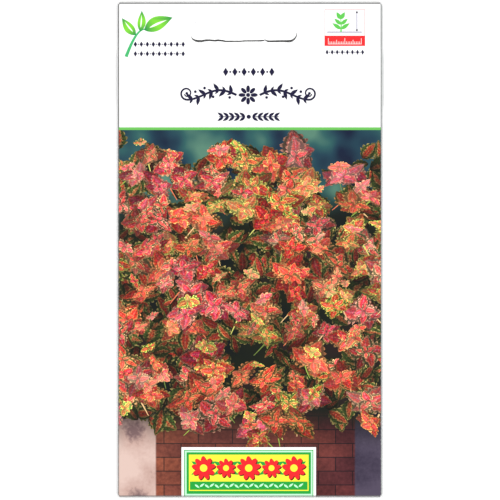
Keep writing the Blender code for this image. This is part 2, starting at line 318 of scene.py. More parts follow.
class Field:
    """A number, colour or place that changes over a surface. A sum with it adds the node for the sum."""

    def __init__(self, tree, socket):
        self.tree, self.socket = tree, socket

    def sum(self, operation, *others):
        """One sum of a Math node."""
        node = self.tree.nodes.new("ShaderNodeMath")
        node.operation = operation
        for socket, value in zip(node.inputs, (self, *others)):
            put(value, socket)
        return Field(self.tree, node.outputs[0])

    def __add__(self, other):
        return self.sum("ADD", other)

    def __sub__(self, other):
        return self.sum("SUBTRACT", other)

    def __rsub__(self, other):
        return self.scaled(-1.0, other)

    def __mul__(self, other):
        return self.sum("MULTIPLY", other)

    def __truediv__(self, other):
        return self.sum("DIVIDE", other)

    def __pow__(self, other):
        return self.sum("POWER", other)

    def __abs__(self):
        return self.sum("ABSOLUTE")

    def at_least(self, other):
        return self.sum("MAXIMUM", other)

    def at_most(self, other):
        return self.sum("MINIMUM", other)

    def scaled(self, times, plus):
        return self.sum("MULTIPLY_ADD", times, plus)

    def rise(self, start, end):
        """0 where the value is below start, 1 above end, and a smooth rise between them."""
        node = self.tree.nodes.new("ShaderNodeMapRange")
        node.interpolation_type = "SMOOTHSTEP"
        for name, value in (("Value", self), ("From Min", start), ("From Max", end)):
            put(value, node.inputs[name])
        return Field(self.tree, node.outputs["Result"])

    def through(self, kind, entry, leave, **values):
        """What a node makes of the field. Its other inputs get plain values."""
        node = self.tree.nodes.new(kind)
        put(self, node.inputs[entry])
        for name, value in values.items():
            node.inputs[name.replace("_", " ")].default_value = value
        return Field(self.tree, node.outputs[leave])

    def parts(self):
        """The three parts of a place or a colour."""
        node = self.tree.nodes.new("ShaderNodeSeparateXYZ")
        put(self, node.inputs[0])
        return [Field(self.tree, output) for output in node.outputs]


def put(value, socket):
    """Gives a socket a field, or a number or colour that is the same all over."""
    if isinstance(value, Field):
        value.tree.links.new(value.socket, socket)
    else:
        socket.default_value = (*value, 1) if isinstance(value, tuple) else value


def blend(share, under, over, how="MIX"):
    """One colour over another."""
    tree = next(item.tree for item in (share, under, over) if isinstance(item, Field))
    node = tree.nodes.new("ShaderNodeMix")
    node.data_type = "RGBA"
    node.blend_type = how
    for socket, value in ((0, share), (6, under), (7, over)):
        put(value, node.inputs[socket])
    return Field(tree, node.outputs[2])


def speckle(place, per_mm, detail=2.0, spread=0.5):
    """Cloudy noise from 0 to 1 with about per_mm clouds to the millimetre."""
    return place.through(
        "ShaderNodeTexNoise", "Vector", "Fac", Scale=per_mm / MM, Detail=detail, Roughness=spread)


def ramp(value, *stops):
    """A colour for each value from 0 to 1, between the stops given as (place, colour)."""
    node = value.tree.nodes.new("ShaderNodeValToRGB")
    put(value, node.inputs["Fac"])
    bar = node.color_ramp
    while len(bar.elements) < len(stops):
        bar.elements.new(1.0)
    for element, (place, colour) in zip(bar.elements, stops):
        element.position = place
        element.color = (*colour, 1)
    return Field(value.tree, node.outputs["Color"])


def new_material(name, roughness):
    """A material, its surface shader's sockets, and the object's own coordinates."""
    material = bpy.data.materials.new(name)
    material.use_nodes = True
    tree = material.node_tree
    surface = tree.nodes["Principled BSDF"].inputs
    surface["Roughness"].default_value = roughness
    return material, surface, Field(tree, tree.nodes.new("ShaderNodeTexCoord").outputs["Object"])


def add_bump(surface, height, distance, strength=1.0):
    """Relief from a height between 0 and 1."""
    relief = height.through("ShaderNodeBump", "Height", "Normal", Distance=distance, Strength=strength)
    put(relief, surface["Normal"])


def new_group(name, inputs, output, kind="Float"):
    """An empty node group, its inputs as fields, and its one output socket."""
    group = bpy.data.node_groups.new(name, "ShaderNodeTree")
    for socket_name in inputs:
        socket_kind = "NodeSocketVector" if socket_name == "Place" else "NodeSocketFloat"
        group.interface.new_socket(socket_name, in_out="INPUT", socket_type=socket_kind)
    group.interface.new_socket(output, in_out="OUTPUT", socket_type="NodeSocket" + kind)
    entry, leave = group.nodes.new("NodeGroupInput"), group.nodes.new("NodeGroupOutput")
    return group, [Field(group, entry.outputs[socket_name]) for socket_name in inputs], leave.inputs[output]


def use_group(group, **values):
    """What a group makes of a number or a field for each input."""
    tree = next(value.tree for value in values.values() if isinstance(value, Field))
    node = tree.nodes.new("ShaderNodeGroup")
    node.node_tree = group
    for name, value in values.items():
        put(value, node.inputs[name])
    return Field(tree, node.outputs[0])


# Painted shade along the packet's outer edges: the corner's radius, a shift that gives the left more, and
# the grey
EDGE_SHADE_CORNER, EDGE_SHADE_SHIFT, END_EDGE_SHADE = 0.7 * MM, 0.05 * MM, 0.10 * MM
EDGE_SHADE_GREY = (0.09, 0.09, 0.09)
# Painted shade on the inner faces round the slit: how far it reaches, and its grey
SLIT_SHADE_REACH = 2.5 * MM
SLIT_SHADE_GREY = (0.02, 0.02, 0.022)


def make_painted_edge_shade():
    """Painted shade: a grey line along the outermost edges and round the corners, more on the left."""
    group, (place, reach), edge_shade = new_group("painted_edge_shade", ("Place", "Reach"), "Painted_shade")
    x, y, _ = place.parts()
    beyond_side = (abs(x - EDGE_SHADE_SHIFT) - (PACKET_WIDTH / 2 - EDGE_SHADE_CORNER)).at_least(0.0)
    beyond_end = (abs(y) - (PACKET_HEIGHT / 2 - END_EDGE_SHADE - EDGE_SHADE_CORNER)).at_least(0.0)
    reached = (beyond_side ** 2.0 + beyond_end ** 2.0).sum("SQRT")
    near = 1.0 - ((EDGE_SHADE_CORNER - reached) / reach).rise(0.60, 1.0)
    put(near * speckle(place, 0.12, 3).scaled(0.25, 0.78), edge_shade)
    return group


painted_edge_shade = make_painted_edge_shade()


def make_painted_slit_shade(place):
    """Painted shade on the paper's inner faces round the slit, where the inside of the packet is unlit."""
    x, y, z = place.parts()
    facing = Field(place.tree, place.tree.nodes.new("ShaderNodeNewGeometry").outputs["Normal"]).parts()[2]
    across = abs(x - SLIT_MIDDLE_X).sum("LESS_THAN", SLIT_WIDTH / 2 + SLIT_SHADE_REACH)
    along = abs(y - (SLIT_Y + SLIT_TURN_RADIUS / 2)).sum("LESS_THAN", 2 * SLIT_SHADE_REACH)
    upper = z.sum("GREATER_THAN", PAPER_ALLOWANCE / 2 + LAYER_PITCH)
    outside = upper.sum("COMPARE", facing.sum("GREATER_THAN", 0.0), 0.1)
    return across * along * (1.0 - outside)


def make_coated_paper():
    """Bright white coated stock, with a trace of grey handling marks, painted shade along its outer edges
    and on its inner faces round the slit, and fine fibre relief.
    """
    material, surface, place = new_material("coated_paper", 0.38)
    clouds = speckle(place, 0.05, 3)
    white = blend(clouds, (0.925, 0.925, 0.92), (0.955, 0.955, 0.955))
    marks = speckle(place, 0.35, 4, 0.6).rise(0.70, 0.80)
    scuffed = blend(marks * 0.35, white, (0.62, 0.62, 0.63))
    # Painted shade: a grey line along the outer edges, and darker inner faces round the slit
    edge_shaded = blend(use_group(painted_edge_shade, Place=place, Reach=0.44 * MM), scuffed, EDGE_SHADE_GREY)
    put(blend(make_painted_slit_shade(place), edge_shaded, SLIT_SHADE_GREY), surface["Base Color"])
    put(clouds.scaled(0.10, 0.33), surface["Roughness"])
    add_bump(surface, speckle(place, 9.0, 2), 0.004 * MM, 0.5)
    return material


def make_slit_wall_shade():
    """The slit's raw edge, painted near black as the shade deep in the narrow cut."""
    material, surface, place = new_material("slit_wall_shade", 0.8)
    put(blend(speckle(place, 4.0, 2), (0.015, 0.015, 0.016), (0.07, 0.07, 0.07)), surface["Base Color"])
    return material


paper_sheet = make_flat_sheet()
flat_places = np.array([vertex.co[:2] for vertex in paper_sheet.verts])
for vertex, place in zip(paper_sheet.verts, fold(flat_places[:, 0], flat_places[:, 1], 0)):
    vertex.co = place
bmesh.ops.recalc_face_normals(paper_sheet, faces=paper_sheet.faces)
envelope = add_piece("paper_envelope", paper_sheet, make_coated_paper(), make_slit_wall_shade())
thickness = envelope.modifiers.new("thickness", "SOLIDIFY")
thickness.thickness = PAPER
thickness.offset = 0
thickness.use_even_offset = True
blade = add_piece("slit_blade", make_slit_blade())
slit = envelope.modifiers.new("slit", "BOOLEAN")
slit.object = blade
slit.operation = "DIFFERENCE"
finish_piece(envelope)
bpy.data.objects.remove(blade)
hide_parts("envelope")


# Front print: offset inks under a thin varnish. A bed of toothed leaves in rosettes fills the front
# from a green rule below the header down and round the bottom fold, and bleeds over both side folds.
# Prints are drawn flat in millimetres, before the sheet is folded.
INK_FACE, INK_DEPTH = 0.073 * MM, 0.035 * MM
FRONT_HALF_WIDTH, FRONT_HALF_HEIGHT = FRONT_U / MM, FRONT_V / MM
SIDE_ARC, END_ARC = math.pi * SIDE_FOLD_RADIUS / MM, math.pi * END_FOLD_RADIUS / MM
SIDE_BLEED = SIDE_ARC + 0.9
PICTURE_TOP = 37.1
RULE_WIDTH = 0.82
BOTTOM_CORNER = BOTTOM_CORNER_RADIUS / MM

# One printed shape: its outline, its flat ink, or the frame and the tone of a leaf
Shape = collections.namedtuple("Shape", "outline ink frame tone")


def ink(red, green, blue):
    """The linear colour of an ink, from its shade on a scale of 255."""
    shades = np.array((red, green, blue)) / 255
    return np.where(shades < 0.04045, shades / 12.92, ((shades + 0.055) / 1.055) ** 2.4)


def flat(outline, colour):
    """A shape in one ink, or in inks that a function gives for each point."""
    return Shape(np.array(outline, float), colour, None, None)


def turned(points, x, y, turn):
    """Points turned about the origin and moved to a place."""
    cosine, sine = math.cos(turn), math.sin(turn)
    return points @ np.array([[cosine, sine], [-sine, cosine]]) + (x, y)


def oval(x, y, width, height=None, points=28, turn=0.0):
    """A circle or an oval."""
    angle = np.arange(points) * 2 * math.pi / points
    ring = np.stack([np.cos(angle) * width / 2, np.sin(angle) * (height or width) / 2], axis=-1)
    return turned(ring, x, y, turn)


def box(left, bottom, right, top, radius=0.0):
    """A box whose corners may be rounded."""
    outline = []
    for x, y, start in ((right, top, 0), (left, top, 90), (left, bottom, 180), (right, bottom, 270)):
        if radius == 0:
            outline.append((x, y))
            continue
        inner_x, inner_y = x + (radius if x == left else -radius), y + (radius if y == bottom else -radius)
        for angle in np.radians(np.linspace(start, start + 90, 8)):
            outline.append((inner_x + radius * math.cos(angle), inner_y + radius * math.sin(angle)))
    return np.array(outline)


def stroke(route, widths):
    """A line of ink along a route. A single width, or one for each point."""
    route = np.array(route, float)
    along = np.gradient(route, axis=0)
    along /= np.linalg.norm(along, axis=1, keepdims=True)
    across = np.stack([-along[:, 1], along[:, 0]], axis=-1)
    half = (np.zeros(len(route)) + widths)[:, None] / 2
    return np.concatenate([route - across * half, (route + across * half)[::-1]])


def inside(outline, points):
    """Which points lie inside a closed outline."""
    found = np.zeros(len(points), bool)
    near = np.nonzero(np.all((points > outline.min(axis=0)) & (points < outline.max(axis=0)), axis=1))[0]
    x, y = points[near].T
    hits = np.zeros(len(near), bool)
    for (ax, ay), (bx, by) in zip(outline, np.roll(outline, -1, axis=0)):
        if ay != by:
            hits ^= ((ay > y) != (by > y)) & (x < (bx - ax) * (y - ay) / (by - ay) + ax)
    found[near] = hits
    return found


def finely(outline, spacing=1.3):
    """The same closed outline in short sides, so that it follows the front's swell."""
    rich = []
    for start, end in zip(outline, np.roll(outline, -1, axis=0)):
        parts = max(1, math.ceil(math.dist(start, end) / spacing))
        rich += [start + (end - start) * i / parts for i in range(parts)]
    return np.array(rich)


def trace(shapes, limit, guides, dots):
    """Cuts a flat area into triangles along the outlines of shapes that overlap, the later ones on top.

    Gives the corner points, the triangles, and the number of each triangle's top shape or -1."""
    limit = finely(limit)
    outlines = [shape.outline if shape.frame else finely(shape.outline) for shape in shapes]
    counts = np.array([len(outline) for outline in outlines])
    points = np.concatenate(outlines)
    owner = np.repeat(np.arange(len(shapes)), counts)
    ends = np.cumsum(counts)
    following = np.arange(len(points)) + 1
    following[ends - 1] = ends - counts
    below, above = points < limit.min(axis=0), points > limit.max(axis=0)
    unseen = np.any((below & below[following]) | (above & above[following]), axis=1)
    for number, shape in enumerate(shapes):
        covered = inside(shape.outline, points) & (owner < number)
        unseen |= covered & covered[following]

    starts = np.nonzero(~unseen)[0]
    used = np.unique(np.concatenate([starts, following[starts]]))
    place = np.zeros(len(points), int)
    place[used] = np.arange(len(used))
    corners = list(points[used])
    edges = [(int(place[a]), int(place[following[a]])) for a in starts]
    for route, closed in [(limit, True)] + [(guide, False) for guide in guides]:
        first = len(corners)
        corners += list(route)
        edges += [(first + i, first + i + 1) for i in range(len(route) - 1)]
        if closed:
            edges.append((first + len(route) - 1, first))
    corners += list(dots)
    found = delaunay_2d_cdt([Vector(corner) for corner in corners], edges, [], 0, 1e-5)
    corners = np.array([tuple(corner) for corner in found[0]])
    triangles = np.array(found[2])
    a, b, c = corners[triangles].transpose(1, 0, 2)
    area = (b - a)[:, 0] * (c - a)[:, 1] - (b - a)[:, 1] * (c - a)[:, 0]
    triangles[area < 0] = triangles[area < 0][:, ::-1]
    middles = corners[triangles].mean(axis=1)
    kept = inside(limit, middles) & (np.abs(area) > 1e-7)
    triangles, middles = triangles[kept], middles[kept]
    tops = np.full(len(triangles), -1)
    for number, shape in enumerate(shapes):
        tops[inside(shape.outline, middles)] = number
    return corners, triangles, tops


def add_print(name, shapes, limit, guides, dots, material, grounded=False):
    """A film of ink on the folded sheet: the shapes, and the bare ground between them if it is grounded."""
    corners, triangles, tops = trace(shapes, limit, guides, dots)
    if not grounded:
        triangles, tops = triangles[tops >= 0], tops[tops >= 0]
    used, triangles = np.unique(triangles, return_inverse=True)
    corners, triangles = corners[used], triangles.reshape(-1, 3)
    leaf_map, leaf_tone, flat_ink = [np.zeros((len(triangles), 3, size)) for size in (2, 4, 4)]
    for number in np.unique(tops[tops >= 0]):
        shape, faces = shapes[number], tops == number
        points = corners[triangles[faces]]
        flat_ink[faces, :, :3] = shape.ink(points) if callable(shape.ink) else shape.ink
        if shape.frame is None:
            flat_ink[faces, :, 3] = 1
        else:
            base, reach, side, bend = shape.frame
            straight = (points - base) @ np.linalg.inv(np.stack([reach, side])) + (0, 0.5)
            straight[..., 1] -= bend * straight[..., 0] * (1 - straight[..., 0])
            leaf_map[faces] = straight
            leaf_tone[faces, :, :3] = shape.tone

    data = bpy.data.meshes.new(name)
    places = fold(corners[:, 0] * MM, corners[:, 1] * MM, INK_FACE)
    data.from_pydata(places.tolist(), [], triangles.tolist())
    data.uv_layers.new(name="leaf_map").uv.foreach_set("vector", leaf_map.ravel())
    for layer, colours in (("leaf_tone", leaf_tone), ("flat_ink", flat_ink)):
        data.color_attributes.new(layer, "FLOAT_COLOR", "CORNER").data.foreach_set("color", colours.ravel())
    data.materials.append(material)
    piece = add_object(name, data)
    depth = piece.modifiers.new("depth", "SOLIDIFY")
    depth.thickness = INK_DEPTH
    depth.offset = -1
    finish_piece(piece)


TOOTH_PROFILE = ((0.0, 0.0), (0.40, 0.70), (0.80, 1.0))
TOOTH_ROOT, TOOTH_DEPTH = 0.92, 0.46
LEAF_HALF_WIDTH, LEAF_FULLNESS = 0.34, 0.82
YOUNG_LENGTH = 3.8


def make_leaf_outline(teeth):
    """A pointed oval leaf with forward-pointing teeth, from (0, 0) to its tip at (1, 0)."""
    edge = [((tooth + start) / teeth, height) for tooth in range(teeth) for start, height in TOOTH_PROFILE]
    share, height = np.array(edge + [(1.0, 0.0)]).T
    half = LEAF_HALF_WIDTH * np.sin(math.pi * share ** LEAF_FULLNESS) * (TOOTH_ROOT + TOOTH_DEPTH * height)
    half[-1] = 0
    left = np.stack([share, half], axis=-1)
    right = np.stack([share, -half], axis=-1)[::-1][1:-1]
    return np.concatenate([left, right])


GROWN_LEAF, YOUNG_LEAF = make_leaf_outline(5), make_leaf_outline(3)


def leaf(base, reach, side, bend, tint, tone):
    """One leaf: where its stalk is, the vector to its tip, the vector across it, and its sideways bend."""
    base, reach, side = np.array(base), np.array(reach), np.array(side)
    along, half = np.hsplit(YOUNG_LEAF if np.linalg.norm(reach) < YOUNG_LENGTH else GROWN_LEAF, 2)
    bent = half + bend * along * (1 - along)
    return Shape(base + along * reach + bent * side, tint, (base, reach, side, bend), tone)


def bed_edge(x):
    """How far up the bed of leaves grows."""
    return 29.5 + 3.5 * math.sin(x * 0.16 + 0.9) + 2.5 * math.sin(x * 0.43)


def bed_foot(x):
    """How far down the leaves hang over the bed's brick edge."""
    return -53.5 - 2.5 * math.sin(x * 0.17 + 1.2) - 1.5 * math.sin(x * 0.55)


UNDER_LEAVES = 680
ROW_PITCH, ROSETTE_PITCH = 6.6, 7.8
FULL_SHARES = (1.0, 0.88, 0.72, 0.54, 0.34)
ROSETTE_TINTS = (
    (1.10, 0.86, 0.82), (1.16, 0.68, 0.60), (1.12, 1.18, 0.76), (1.04, 1.42, 0.78),
    (1.16, 0.78, 1.30), (1.14, 1.00, 1.28), (1.16, 0.88, 0.66), (1.14, 0.92, 0.98),
)
YOUNG_TINTS = ((1.05, 1.85, 0.85), (1.12, 1.30, 1.0), (1.14, 0.98, 1.25), (1.16, 0.82, 0.84))
STALK_INKS = [ink(*shades) for shades in (
    (214, 214, 112), (150, 176, 74), (240, 196, 140), (226, 120, 84), (112, 132, 62),
)]


def scatter_under_leaves(draw):
    """Single dark leaves that show between the rosettes."""
    leaves = []
    for _ in range(UNDER_LEAVES):
        x, y, length, turn, slim, bend, bright, ripeness = [draw.uniform(low, high) for low, high in (
            (-42, 42), (-52, 36), (4.5, 8.5), (0, 2 * math.pi), (0.55, 1.0), (-0.4, 0.4),
            (0.05, 0.55), (0.45, 1.15),
        )]
        if y > bed_edge(x) - 3 or y < bed_foot(x) + 3:
            continue
        reach = (math.cos(turn) * length, math.sin(turn) * length)
        side = (-reach[1] * slim, reach[0] * slim)
        leaves.append(leaf((x, y), reach, side, bend, (0.80, 0.92, 0.76), (bright, ripeness, 0.0)))
    return leaves


def make_rosette(draw, x, y, size, tints=ROSETTE_TINTS, shares=FULL_SHARES):
    """Pairs of leaves round one stem, each pair smaller and a quarter turn on, seen at a slant."""
    turn = draw.uniform(0, 2 * math.pi)
    slant, slant_way = draw.uniform(0.55, 1.0), draw.uniform(0.7, 2.4)
    way = np.array([math.cos(slant_way), math.sin(slant_way)])
    squash = np.eye(2) - (1 - slant) * np.outer(way, way)
    bright, ripeness = draw.uniform(0.55, 1.12), draw.uniform(0.08, 0.68)
    pale = draw.random() ** 0.9
    tint = np.array(draw.choice(tints))
    leaves = []
    for share in shares:
        pair = FULL_SHARES.index(share)
        for side in (0, 1):
            angle = turn + pair * math.pi / 2 + side * math.pi + draw.uniform(-0.45, 0.45)
            length = size * share * draw.uniform(0.80, 1.15)
            reach = squash @ (np.array([math.cos(angle), math.sin(angle)]) * length)
            width = length * draw.uniform(0.80, 1.20)
            across = squash @ (np.array([-math.sin(angle), math.cos(angle)]) * width)
            tone = (
                min(1.15, bright * (0.30 + 0.24 * pair) * draw.uniform(0.70, 1.30)),
                ripeness + draw.uniform(-0.22, 0.22) + 0.03 * pair,
                pale * draw.uniform(0.1, 1.0),
            )
            bend = draw.uniform(-0.45, 0.45)
            leaves.append(leaf(np.array([x, y]) - 0.04 * reach, reach, across, bend, tint, tone))
    return leaves


def make_stalk(draw, x, y):
    """A thin bent leaf stalk below a rosette."""
    length, lean, bend = draw.uniform(4.0, 8.5), draw.uniform(-0.9, 0.9), draw.uniform(-1.6, 1.6)
    share = np.linspace(0, 1, 9)
    sideways = math.sin(lean) * length * share + bend * share * (1 - share)
    route = np.stack([x + sideways, y - math.cos(lean) * length * share], axis=-1)
    return flat(stroke(route, np.linspace(draw.uniform(0.40, 0.75), 0.18, 9)), draw.choice(STALK_INKS))


def plant_rosettes(draw):
    """Rows of rosettes from the top down, each row over the one before it."""
    centres = []
    row, y = 0, 34.0
    while y > -60:
        x = -44.0 + (row % 2) * ROSETTE_PITCH / 2
        while x < 46:
            centres.append((x + draw.uniform(-2.4, 2.4), y + draw.uniform(-2.4, 2.4)))
            x += ROSETTE_PITCH
        row += 1
        y -= ROW_PITCH
    centres.sort(key=lambda centre: -centre[1] + draw.uniform(-4, 4))
    leaves = []
    for x, y in centres:
        chance, size = draw.random(), draw.uniform(5.0, 8.4)
        if y > bed_edge(x) or y < bed_foot(x) or chance < 0.20:
            continue
        for _ in range(draw.choice((0, 1, 1, 2))):
            leaves.append(make_stalk(draw, x + draw.uniform(-3, 3), y + draw.uniform(-1, 3)))
        leaves += make_rosette(draw, x, y, size)
        if draw.random() < 0.65:
            beside_x, beside_y = x + draw.uniform(-4.5, 4.5), y + draw.uniform(1.5, 5.0)
            leaves += make_rosette(draw, beside_x, beside_y, size * 0.9, YOUNG_TINTS, FULL_SHARES[3:])
    return leaves


def daisy(x, y, size, petals, colour, heart):
    """A daisy: a ring of rounded petals and a round heart."""
    parts = []
    for petal in range(petals):
        angle = petal * 2 * math.pi / petals + 0.2
        out_x, out_y = math.cos(angle) * size * 0.29, math.sin(angle) * size * 0.29
        parts.append(flat(oval(x + out_x, y + out_y, size * 0.40, size * 0.21, 16, angle), colour))
    return parts + [flat(oval(x, y, size * 0.30), heart)]


def plain_leaf(x, y, length, width, turn, colour, bend=0.0, points=13):
    """A plain pointed leaf in one ink."""
    share = np.linspace(0, 1, points)
    half = width / 2 * np.sin(math.pi * share ** 0.8)
    spine = bend * length * share * (1 - share)
    left = np.stack([share * length, spine + half], axis=-1)
    right = np.stack([share * length, spine - half], axis=-1)[::-1][1:-1]
    return flat(turned(np.concatenate([left, right]), x, y, turn), colour)


def make_label():
    """A white label at the foot with a green frame, and a garland of red daisies on yellow."""
    label_white, label_green, label_mint = ink(252, 252, 252), ink(34, 160, 60), ink(190, 240, 205)
    label_yellow, poppy_red, shade_red = ink(252, 240, 60), ink(236, 34, 40), ink(84, 16, 20)
    left, right, top, foot = -20.7, 20.1, -59.9, -80.0
    parts = []
    for inset, bottom, drop, colour in (
        (0, foot, 0, label_white), (0.8, foot, 0.8, label_green), (1.05, foot, 1.05, label_mint),
        (1.55, -74.1, 1.55, label_green), (2.25, -73.2, 2.25, label_yellow),
        (2.55, -72.9, 10.45, label_green),
    ):
        parts.append(flat(box(left + inset, bottom, right - inset, top - drop), colour))
    middle, row = (left + right) / 2, -66.25
    for step_out, size in ((-13.7, 7.5), (-6.9, 6.0), (0, 7.5), (6.9, 6.0), (13.7, 7.5)):
        x = middle + step_out
        for turn in (0.5, -0.5, math.pi - 0.5, math.pi + 0.5):
            parts.append(plain_leaf(x, row, 4.3, 1.5, turn, label_green))
        parts += daisy(x + 0.25, row - 0.3, size, 9, shade_red, shade_red)
        parts += daisy(x, row, size, 9, poppy_red, label_yellow)
    for i in range(22):
        x, turn = middle + (i - 10.5) * 1.5, 0.65 if i % 2 else -0.65
        parts.append(plain_leaf(x - 0.6, -71.62 - turn * 0.55, 1.8, 0.62, turn, label_mint))
    return parts


VEIN_PAIRS, VEIN_SLANT = 7.5, 1.6


def make_leaf_inks():
    """The inks of one leaf: a hot middle, red flanks, an olive band, a pale rim and creamy veins."""
    group, (along, aside, ripeness, paleness, grain, sparkle), result = new_group(
        "leaf_inks", ("Along", "Across", "Ripeness", "Paleness", "Grain", "Sparkle"), "Color", "Color")
    along = along.at_least(0.001)
    across = abs(aside)
    edge = (along ** LEAF_FULLNESS * math.pi).sum("SINE") * LEAF_HALF_WIDTH
    outward = across / edge.at_least(0.02)
    crest = abs((along * VEIN_PAIRS - outward * VEIN_SLANT).sum("FRACT") - 0.5) * 2.0
    vein = crest.rise(0.72, 0.95) * (1.0 - outward.rise(0.55, 0.95))
    midrib = 1.0 - across.rise(0.010, 0.036)

    zone = vein.scaled(-0.16, outward.at_least(along.rise(0.75, 1.02)))
    zone = (ripeness - 0.5).scaled(0.75, (grain - 0.5).scaled(0.85, zone))
    leafy = ramp(
        zone, (0.00, (0.82, 0.045, 0.13)), (0.25, (0.83, 0.025, 0.025)), (0.48, (0.88, 0.085, 0.030)),
        (0.61, (0.95, 0.34, 0.15)), (0.70, (0.92, 0.52, 0.22)), (0.79, (0.10, 0.10, 0.020)),
        (0.89, (0.045, 0.085, 0.020)), (1.00, (0.10, 0.16, 0.035)),
    )
    leafy = blend(outward.rise(0.96, 1.14) * 0.9, leafy, (0.92, 0.62, 0.24))
    ribs = (midrib * 0.55).at_least(vein * 0.40)
    leafy = blend(ribs, leafy, blend(paleness, (0.93, 0.34, 0.14), (0.97, 0.74, 0.50)))

    quilt = crest.scaled(-0.50, 1.20)
    lit = aside.rise(-0.25, 0.25).scaled(0.55, 0.72)
    stem_shade = along.rise(0.0, 0.42).scaled(0.80, 0.20)
    shade = quilt * lit * stem_shade * grain.scaled(-1.6, 1.80) * sparkle.scaled(3.6, -0.85)
    put(blend(1.0, leafy, shade.at_least(0.02), "MULTIPLY"), result)
    return group


def make_fold_wear():
    """Where the ink is rubbed off along the side folds."""
    group, (place, reach), wear = new_group("fold_wear", ("Place", "Reach"), "Wear")
    near = ((abs(place.parts()[0]) - (PACKET_WIDTH / 2 - reach)) / reach).at_least(0.0).at_most(1.0)
    flecks = near.scaled(0.30, speckle(place, 1.3, 4, 0.65)).rise(0.70, 0.80)
    put(flecks * near, wear)
    return group


fold_wear = make_fold_wear()


def attribute(place, name, output="Color"):
    """A colour attribute of the piece, or its fourth value."""
    node = place.tree.nodes.new("ShaderNodeAttribute")
    node.attribute_name = name
    return Field(place.tree, node.outputs[output])


def make_bricks(place, light_side, grit):
    """The bed's edge in old red bricks, lit from the left."""
    bricks = place.through(
        "ShaderNodeTexBrick", "Vector", "Color", Scale=1 / MM, Brick_Width=10.4, Row_Height=4.2,
        Mortar_Size=0.20, Mortar_Smooth=0.6, Color1=(0.19, 0.045, 0.028, 1), Color2=(0.11, 0.026, 0.022, 1),
        Mortar=(0.024, 0.010, 0.011, 1),
    )
    rough = ramp(grit, (0.35, (0.45, 0.40, 0.45)), (0.55, (0.95, 0.95, 0.95)), (0.75, (1.6, 1.7, 1.6)))
    lit = ramp(light_side, (0.0, (1.45, 1.6, 1.3)), (0.35, (1.0, 1.0, 1.0)), (1.0, (0.55, 0.45, 0.75)))
    return blend(1.0, blend(1.0, bricks, rough, "MULTIPLY"), lit, "MULTIPLY")


def make_shadowed_ground(place):
    """Behind the leaves: a blurred garden, near black, then bricks between pale and slate paving."""
    x, y, _ = place.parts()
    blur = speckle(place, 0.085, 1.5, 0.4)
    top = ramp(
        blur, (0.36, (0.004, 0.011, 0.035)), (0.46, (0.012, 0.046, 0.072)), (0.56, (0.025, 0.10, 0.10)),
        (0.68, (0.09, 0.21, 0.15)),
    )
    deep = ramp(
        blur, (0.30, (0.001, 0.003, 0.006)), (0.55, (0.006, 0.009, 0.003)), (0.75, (0.02, 0.008, 0.010)),
    )
    grit = speckle(place, 0.9, 4, 0.6).scaled(0.5, blur * 0.6)
    bricks = make_bricks(place, x.scaled(16.0, 0.45), grit)
    veined = blur.scaled(0.7, grit * 0.5)
    stone = ramp(veined, (0.42, (0.20, 0.12, 0.12)), (0.55, (0.54, 0.36, 0.31)), (0.75, (0.68, 0.50, 0.44)))
    slate = ramp(
        veined, (0.42, (0.015, 0.011, 0.03)), (0.55, (0.040, 0.030, 0.056)), (0.75, (0.08, 0.062, 0.10)),
    )
    paving = blend(x.rise(-0.005, 0.005), stone, slate)
    footing = blend(x.rise(-0.0288, -0.0282) * x.rise(0.0322, 0.0316), paving, bricks)
    colour = blend(blur.scaled(0.03, y).rise(0.022, 0.042), deep, top)
    return blend(blur.scaled(0.012, y).rise(-0.042, -0.055), colour, footing)


def finish_inks(surface, place, colour):
    """Varnished ink, rubbed pale, and with a grey painted shade along the packet's edges."""
    surface["Specular IOR Level"].default_value = 0.28
    worn = blend(use_group(fold_wear, Place=place, Reach=0.5 * MM), colour, (0.80, 0.80, 0.79))
    # Painted shade: a grey line along the packet's outer edges
    edge_shade = use_group(painted_edge_shade, Place=place, Reach=0.40 * MM)
    put(blend(edge_shade * 0.8, worn, (0.15, 0.15, 0.15)), surface["Base Color"])
    put(speckle(place, 0.06, 3).scaled(0.12, 0.28), surface["Roughness"])
    add_bump(surface, speckle(place, 9.0, 2), 0.004 * MM, 0.5)


def make_front_inks():
    """Process inks: leaves, the ground behind them and flat shapes."""
    material, surface, place = new_material("front_inks", 0.34)
    leaf_map = place.tree.nodes.new("ShaderNodeUVMap")
    leaf_map.uv_map = "leaf_map"
    along, across, _ = Field(place.tree, leaf_map.outputs["UV"]).parts()
    bright, ripeness, paleness = attribute(place, "leaf_tone").parts()
    flat_ink = attribute(place, "flat_ink")
    leafy = use_group(
        make_leaf_inks(), Along=along, Across=across - 0.5, Ripeness=ripeness, Paleness=paleness,
        Grain=speckle(place, 1.1, 4, 0.6), Sparkle=speckle(place, 1.9, 2, 0.7),
    )
    leafy = blend(paleness * 0.34, leafy, (0.95, 0.54, 0.34))
    leafy = blend(1.0, blend(1.0, leafy, bright, "MULTIPLY"), flat_ink, "MULTIPLY")
    colour = blend(bright.rise(0.0, 0.01), make_shadowed_ground(place), leafy)
    finish_inks(surface, place, blend(attribute(place, "flat_ink", "Alpha"), colour, flat_ink))
    return material


def side_fold_lines(side, heights):
    """Lines along a side fold, where the film of ink bends."""
    return [
        [(side * (FRONT_HALF_WIDTH + SIDE_ARC * i / SIDE_FOLD_PARTS), y) for y in heights]
        for i in range(SIDE_FOLD_PARTS + 1)
    ]


